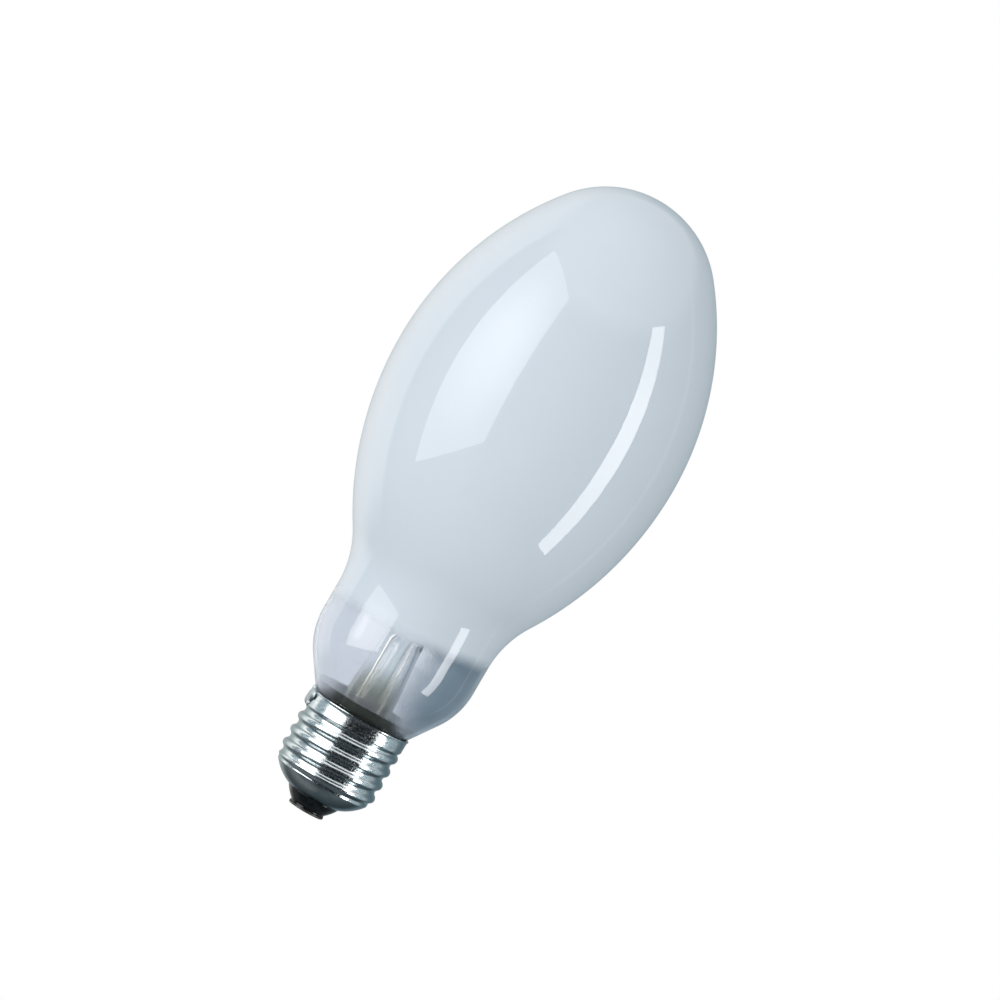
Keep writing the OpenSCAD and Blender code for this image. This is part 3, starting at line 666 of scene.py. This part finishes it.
def thread_tree():
    """Winds a profile curve round the axis and raises a rolled right-hand thread on it."""
    tree = bpy.data.node_groups.new("rolled_thread", "GeometryNodeTree")
    face = tree.interface
    face.new_socket("Profile", in_out="INPUT", socket_type="NodeSocketGeometry")
    sizes = {
        "Pitch": THREAD_PITCH * MM, "Depth": (THREAD_MAJOR - THREAD_MINOR) / 2 * MM,
        "Crest Height": CREST_Z * MM, "Thread Start": (DISH_TOP + 0.3) * MM,
        "Rise": THREAD_RISE * MM, "Blend Start": (COLLAR_START - COLLAR_BLEND) * MM,
        "Blend": COLLAR_BLEND * MM,
    }
    sockets = {}
    for name, value in sizes.items():
        socket = face.new_socket(name, in_out="INPUT", socket_type="NodeSocketFloat")
        socket.default_value = value
        sockets[name] = socket.identifier
    for name, value in (("Columns", 192), ("Rows", 160)):
        socket = face.new_socket(name, in_out="INPUT", socket_type="NodeSocketInt")
        socket.default_value = value
        sockets[name] = socket.identifier
    face.new_socket("Material", in_out="INPUT", socket_type="NodeSocketMaterial")
    face.new_socket("Shell", in_out="OUTPUT", socket_type="NodeSocketGeometry")
    t = Tree(tree.nodes, tree.links)
    given = t.node("NodeGroupInput").outputs
    result = t.node("NodeGroupOutput").inputs

    grid = t.node("GeometryNodeMeshGrid")
    t.put(grid.inputs["Size X"], 1.0)
    t.put(grid.inputs["Size Y"], 1.0)
    t.put(grid.inputs["Vertices X"], given["Columns"])
    t.put(grid.inputs["Vertices Y"], given["Rows"])
    where = t.node("ShaderNodeSeparateXYZ")
    t.put(where.inputs[0], t.node("GeometryNodeInputPosition").outputs[0])
    around = t.maths("ADD", where.outputs[0], 0.5)
    along = t.maths("ADD", where.outputs[1], 0.5)

    sample = t.node("GeometryNodeSampleCurve", mode="FACTOR")
    sample.use_all_curves = True
    t.put(sample.inputs["Curves"], given["Profile"])
    t.put(sample.inputs["Factor"], along)
    at = t.node("ShaderNodeSeparateXYZ")
    t.put(at.inputs[0], sample.outputs["Position"])
    radius, height = at.outputs[0], at.outputs[2]

    pitch, depth = given["Pitch"], given["Depth"]
    above = t.maths("SUBTRACT", height, given["Crest Height"])
    turns = t.maths("SUBTRACT", t.maths("DIVIDE", above, pitch), around)
    phase = t.maths("SUBTRACT", turns, t.maths("ROUND", turns))
    off = t.maths("MULTIPLY", t.maths("ABSOLUTE", phase), pitch)
    half = t.maths("MULTIPLY", pitch, 0.5)
    square = lambda value: t.maths("MULTIPLY", value, value)
    knuckle = t.maths("DIVIDE", t.maths("ADD", square(half), square(depth)),
                      t.maths("MULTIPLY", depth, 4.0))
    crest = t.maths("ADD", t.maths("SUBTRACT", depth, knuckle),
                    t.maths("SQRT", t.maths("SUBTRACT", square(knuckle), square(off))))
    rest = t.maths("SUBTRACT", half, off)
    root = t.maths("SUBTRACT", knuckle,
                   t.maths("SQRT", t.maths("SUBTRACT", square(knuckle), square(rest))))
    near = t.maths("LESS_THAN", off, t.maths("MULTIPLY", pitch, 0.25))
    ridge = t.maths("ADD", t.maths("MULTIPLY", crest, near),
                    t.maths("MULTIPLY", root, t.maths("SUBTRACT", 1.0, near)))
    start_end = t.maths("ADD", given["Thread Start"], given["Rise"])
    blend_end = t.maths("ADD", given["Blend Start"], given["Blend"])
    grows = t.ramp(height, given["Thread Start"], start_end)
    fades = t.ramp(height, given["Blend Start"], blend_end, 1.0, 0.0)
    reach = t.maths("ADD", radius, t.maths("MULTIPLY", ridge, t.maths("MULTIPLY", grows, fades)))

    turn = t.maths("MULTIPLY", around, 2 * pi)
    place = t.node("ShaderNodeCombineXYZ")
    t.put(place.inputs[0], t.maths("MULTIPLY", reach, t.maths("COSINE", turn)))
    t.put(place.inputs[1], t.maths("MULTIPLY", reach, t.maths("SINE", turn)))
    t.put(place.inputs[2], height)
    moved = t.node("GeometryNodeSetPosition")
    t.put(moved.inputs["Geometry"], grid.outputs["Mesh"])
    t.put(moved.inputs["Position"], place.outputs[0])
    merged = t.node("GeometryNodeMergeByDistance")
    t.put(merged.inputs["Geometry"], moved.outputs[0])
    t.put(merged.inputs["Distance"], 0.000002)
    real = t.node("GeometryNodeRealizeInstances")
    t.put(real.inputs[0], merged.outputs[0])
    painted = t.node("GeometryNodeSetMaterial")
    t.put(painted.inputs["Geometry"], real.outputs[0])
    t.put(painted.inputs["Material"], given["Material"])
    t.put(result["Shell"], painted.outputs[0])
    return tree, sockets


def make_shell():
    points = shell_profile()
    curve = bpy.data.curves.new("shell_profile", "CURVE")
    curve.dimensions = "3D"
    spline = curve.splines.new("POLY")
    spline.points.add(len(points) - 1)
    for point, (radius, height) in zip(spline.points, points):
        point.co = (radius * MM, 0, height * MM, 1)
    host = bpy.data.objects.new("shell_profile", curve)
    bpy.context.scene.collection.objects.link(host)
    tree, sockets = thread_tree()
    winding = host.modifiers.new("rolled_thread", "NODES")
    winding.node_group = tree
    winding[sockets["Columns"]] = 193
    winding[sockets["Rows"]] = 170
    piece = baked("cap_shell", host, plating)
    wall = piece.modifiers.new("sheet", "SOLIDIFY")
    wall.thickness = SHEET * MM
    wall.offset = -1
    wall.use_even_offset = False
    bm = bmesh.new()
    bm.from_mesh(piece.data)
    bmesh.ops.recalc_face_normals(bm, faces=bm.faces)
    if sum(f.normal.x * f.calc_center_median().x + f.normal.y * f.calc_center_median().y
           for f in bm.faces) < 0:
        bmesh.ops.reverse_faces(bm, faces=bm.faces)
    bm.to_mesh(piece.data)
    bm.free()
    piece = baked("cap_shell", piece, plating)
    piece.data.shade_smooth()
    piece.data.set_sharp_from_angle(angle=radians(50))
    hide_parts("screw_shell")
    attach(piece, "root")


def make_rim_solder():
    """Lobes of solder run together over the rim, with a bead on top."""
    turn = Matrix.Rotation(radians(LEAD_PLANE + 180), 4, "Z")
    lobes = [
        ((12.75, 0.0, 25.2), (1.15, 2.3, 2.1)), ((12.7, -1.5, 24.0), (1.0, 1.7, 1.6)),
        ((12.85, 1.5, 25.5), (0.95, 1.6, 1.4)), ((13.15, -0.2, 26.9), (0.72, 0.8, 0.75)),
        ((12.75, 0.6, 23.2), (0.75, 1.0, 0.9)),
    ]
    bm = bmesh.new()
    for centre, size in lobes:
        place = turn @ Matrix.Translation(Vector(centre) * MM) @ Matrix.Diagonal(
            (*[s * MM for s in size], 1))
        bmesh.ops.create_icosphere(bm, subdivisions=4, radius=1.0, matrix=place)
    mesh = bpy.data.meshes.new("rim_solder")
    bm.to_mesh(mesh)
    bm.free()
    host = bpy.data.objects.new("rim_solder", mesh)
    bpy.context.scene.collection.objects.link(host)
    fused = host.modifiers.new("fused", "REMESH")
    fused.mode = "VOXEL"
    fused.voxel_size = 0.14 * MM
    soft = host.modifiers.new("soft", "SMOOTH")
    soft.iterations = 5
    piece = baked("rim_solder", host, solder)
    for vert in piece.data.vertices:
        push = noise.noise(vert.co * 900) * 0.1 + noise.noise(vert.co * 2500) * 0.04
        vert.co += vert.normal * push * MM
    piece.data.shade_smooth()
    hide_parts("side_solder")
    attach(piece, "root")


def make_insulator():
    """The part of the black glass that shows, with rounded edges, over its ring inside the dish."""
    root = THREAD_MINOR / 2
    hole = 0.4
    throat = LIP_R - 0.2
    foot = CONTACT_THICKNESS + SEAT
    section = (
        [(hole, foot), (4.3, foot)] + arc((4.35, 0.82), 0.28, 270, 320, 4)
        + arc((-2.6, 9.3), 10.9, 310.2, 328.5, 14)
        + [(throat, LIP_Z - 0.1), (throat, LIP_Z + 0.3), (8.9, 5.6), (10.2, 6.6),
           (10.5, INSULATOR_TOP), (3 * hole, INSULATOR_TOP), (hole, INSULATOR_TOP - 2)]
    )
    piece = revolved("cap_insulator", section, black_glass, segments=128, sharp=35)
    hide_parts("insulator")
    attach(piece, "root")


# Finish of the nodes that keep their own shape

def dress_nodes():
    finishes = {
        "basing_cement": cement, "centre_contact": brass, "centre_solder": solder,
        "long_lead_in": seal_wire, "short_lead_in": seal_wire, "centre_lead_wire": seal_wire,
        "side_lead_wire": seal_wire, "frame_rod": frame_wire, "short_support": frame_wire,
        "arc_tube": ceramic, "lower_end_plug": ceramic, "upper_end_plug": ceramic,
        "lower_niobium_tube": niobium, "upper_niobium_tube": niobium,
        "lower_electrode": tungsten, "upper_electrode": tungsten, "lower_strap": frame_wire,
        "upper_strap": frame_wire, "top_spring": frame_wire, "getter_ring": getter_metal,
        "getter_wire": frame_wire, "starting_aid": frame_wire,
    }
    for name, material in finishes.items():
        node = bpy.data.objects[name]
        node.data.materials.clear()
        node.data.materials.append(material)


# Studio

CAMERA_DISTANCE = 1.2
# Height of the lens above the tip, which shows the rims a little from above
CAMERA_HEIGHT = 0.131
LAMP_MIDDLE = Vector((0, 0, LAMP_LENGTH / 2 * MM))
# Lean of the lamp in the picture, from upright towards the right
PICTURE_LEAN = radians(30.25)
PIXELS_PER_MM = 4.187
PICTURE = 1000
# Where the lamp's middle falls in the picture, in pixels
MIDDLE_PIXEL = (482.4, 506.6)


def make_camera():
    data = bpy.data.cameras.new("camera")
    data.sensor_width = 36
    data.lens = 36 * CAMERA_DISTANCE / (PICTURE / PIXELS_PER_MM * MM)
    data.clip_end = 30
    camera = bpy.data.objects.new("camera", data)
    bpy.context.scene.collection.objects.link(camera)
    spot = Vector((0, -CAMERA_DISTANCE, CAMERA_HEIGHT))
    looks = (LAMP_MIDDLE - spot).normalized()
    turn = looks.to_track_quat("-Z", "Y").to_matrix() @ Matrix.Rotation(PICTURE_LEAN, 3, "Z")
    metre_per_pixel = MM / PIXELS_PER_MM
    right = (MIDDLE_PIXEL[0] - PICTURE / 2) * metre_per_pixel
    down = (MIDDLE_PIXEL[1] - PICTURE / 2) * metre_per_pixel
    spot -= turn @ Vector((right, -down, 0))
    camera.matrix_world = Matrix.Translation(spot) @ turn.to_4x4()
    bpy.context.scene.camera = camera


def area_light(name, centre, aim, width, height, radiance, colour=(1, 1, 1)):
    """A soft flat light on matt surfaces, given by what it sends out per area."""
    data = bpy.data.lights.new(name, "AREA")
    data.shape = "RECTANGLE"
    data.size, data.size_y = width, height
    data.energy = radiance * pi * width * height
    data.color = colour
    light = bpy.data.objects.new(name, data)
    bpy.context.scene.collection.objects.link(light)
    light.location = centre
    light.rotation_euler = Vector(aim).to_track_quat("-Z", "Y").to_euler()
    light.visible_camera = light.visible_transmission = light.visible_glossy = False


def emitter(name):
    """An emission material with its tree, its emission node and its Object coordinates."""
    material = bpy.data.materials.new(name)
    material.use_nodes = True
    tree = Tree(material.node_tree.nodes, material.node_tree.links)
    tree.nodes.remove(tree.nodes["Principled BSDF"])
    glow = tree.node("ShaderNodeEmission")
    tree.put(tree.nodes["Material Output"].inputs["Surface"], glow.outputs[0])
    return material, tree, glow, tree.node("ShaderNodeTexCoord").outputs["Object"]


def mirror_card(name, corners, middle, edge, tint=(1, 1, 1, 1)):
    """A bright card that only mirrors see, brighter in its middle."""
    centre = sum((Vector(c) for c in corners), Vector()) / 4
    reach = max((Vector(c) - centre).length for c in corners)
    mesh = bpy.data.meshes.new(name)
    mesh.from_pydata([Vector(c) - centre for c in corners], [], [(0, 1, 2, 3)])
    card = bpy.data.objects.new(name, mesh)
    bpy.context.scene.collection.objects.link(card)
    card.location = centre
    material, tree, glow, place = emitter(name)
    away = tree.node("ShaderNodeVectorMath", operation="LENGTH")
    tree.put(away.inputs[0], place)
    tree.put(glow.inputs["Strength"],
             tree.ramp(away.outputs["Value"], 0.05 * reach, 0.8 * reach, middle, edge))
    glow.inputs["Color"].default_value = tint
    mesh.materials.append(material)
    show_to_mirrors_only(card)


def show_to_mirrors_only(card):
    card.visible_camera = card.visible_diffuse = card.visible_shadow = False


# Tone of the studio round the lamp, by turn from the lens towards +X in degrees
WHITE, COOL = (1.0, 0.99, 0.96), (0.76, 0.96, 1.06)
SURROUND = (
    (-150, 0.62, WHITE), (-130, 0.9, WHITE), (-107, 0.95, WHITE), (-103, 0.28, COOL),
    (-80, 0.26, COOL), (-26, 0.18, COOL), (-20, 0.01, COOL), (50, 0.01, COOL),
    (60, 0.11, COOL), (80, 0.3, COOL), (111, 0.3, COOL), (113, 0.5, WHITE),
    (115, 0.5, WHITE), (117, 0.26, COOL), (180, 0.26, COOL),
)
SURROUND_STRENGTH = 1.6


def make_surround():
    """The studio as mirrors see it, and the grey that shows through clear glass."""
    bm = bmesh.new()
    bmesh.ops.create_cone(bm, cap_ends=True, segments=96, radius1=2.2, radius2=2.2, depth=5.0)
    bmesh.ops.reverse_faces(bm, faces=bm.faces)
    mesh = bpy.data.meshes.new("surround")
    bm.to_mesh(mesh)
    bm.free()
    room = bpy.data.objects.new("surround", mesh)
    bpy.context.scene.collection.objects.link(room)
    material, tree, glow, place = emitter("surround")
    turn = tree.node("ShaderNodeTexGradient", gradient_type="RADIAL")
    tree.put(turn.inputs["Vector"], place)
    tones = tree.node("ShaderNodeValToRGB")
    ramp = tones.color_ramp
    stops = sorted((((az + 90) / 360) % 1, tone, tint) for az, tone, tint in SURROUND)
    while len(ramp.elements) < len(stops):
        ramp.elements.new(0.5)
    for element, (at, tone, tint) in zip(ramp.elements, stops):
        element.position = at
        element.color = (*[tone * part for part in tint], 1)
    tree.put(tones.inputs["Fac"], turn.outputs["Fac"])
    z = axes_of(tree, place)[2]
    deep = tree.mixed(0.12, (0.036, 0.045, 0.052, 1), tones.outputs["Color"])
    tone = tree.mixed(tree.ramp(z, -1.8, -0.8), deep, tones.outputs["Color"])
    tone = tree.mixed(tree.ramp(z, 1.6, 2.4), tone, (0.6, 0.61, 0.62, 1))
    seen = tree.node("ShaderNodeLightPath").outputs["Is Transmission Ray"]
    tree.put(glow.inputs["Color"], tree.mixed(seen, tone, (0.42, 0.46, 0.52, 1)))
    glow.inputs["Strength"].default_value = SURROUND_STRENGTH
    mesh.materials.append(material)
    room.visible_camera = room.visible_diffuse = room.visible_shadow = False


# Corners of the two lights, from where the bulb mirrors them
SOFTBOX = ((-0.471, -0.168, -0.164), (-0.250, -0.600, -0.083), (-0.299, -0.577, 0.655),
           (-0.490, -0.098, 0.593))
STRIP = ((0.476, -0.275, -0.25), (0.526, -0.161, -0.245), (0.530, -0.150, 0.607),
         (0.476, -0.275, 0.612))


def make_lights():
    mirror_card("softbox", SOFTBOX, 5.0, 2.6)
    mirror_card("strip_light", STRIP, 7.6, 6.2)
    area_light("side_fill", (-1.2, -0.7, 0.35), (1.2, 0.7, -0.24), 1.2, 1.2, 1.0)
    area_light("front_fill", (0.0, -1.6, 0.5), (0.0, 1.6, -0.4), 1.2, 1.2, 1.27)


def make_floor():
    mesh = bpy.data.meshes.new("floor")
    bm = bmesh.new()
    bmesh.ops.create_circle(bm, cap_ends=True, segments=96, radius=1.4)
    bm.to_mesh(mesh)
    bm.free()
    floor = bpy.data.objects.new("floor", mesh)
    bpy.context.scene.collection.objects.link(floor)
    floor.location.z = -0.5
    material = bpy.data.materials.new("pale_floor")
    material.use_nodes = True
    tree = Tree(material.node_tree.nodes, material.node_tree.links)
    shader = material.node_tree.nodes["Principled BSDF"]
    set_values(shader, Base_Color=(0.85, 0.85, 0.85, 1), Roughness=0.8)
    glow = tree.node("ShaderNodeEmission")
    seen = tree.node("ShaderNodeLightPath").outputs["Is Camera Ray"]
    mix = blend(tree, tree.maths("MULTIPLY", seen, 0.7), shader.outputs[0], glow.outputs[0])
    tree.put(material.node_tree.nodes["Material Output"].inputs["Surface"], mix)
    mesh.materials.append(material)
    floor.visible_glossy = floor.visible_transmission = False


def make_world():
    """White where the lens sees it, and a dimmer fill on matt surfaces."""
    world = bpy.data.worlds.new("studio")
    world.use_nodes = True
    bpy.context.scene.world = world
    tree = Tree(world.node_tree.nodes, world.node_tree.links)
    seen = tree.node("ShaderNodeLightPath").outputs
    fill = 0.56
    direct = tree.maths("MAXIMUM", seen["Is Camera Ray"], seen["Is Glossy Ray"])
    direct = tree.maths("MAXIMUM", direct, seen["Is Transmission Ray"])
    sky = world.node_tree.nodes["Background"]
    tree.put(sky.inputs["Color"], tree.mixed(direct, (0.96, 1.0, 1.03, 1), (1, 1, 1, 1)))
    tree.put(sky.inputs["Strength"], tree.maths("MULTIPLY_ADD", direct, 1 - fill, fill))


make_bulb()
make_coat()
make_stem()
make_exhaust_tube()
make_shell()
make_rim_solder()
make_insulator()
dress_nodes()
make_camera()
make_lights()
make_surround()
make_floor()
make_world()
bpy.context.scene.view_settings.view_transform = "Standard"
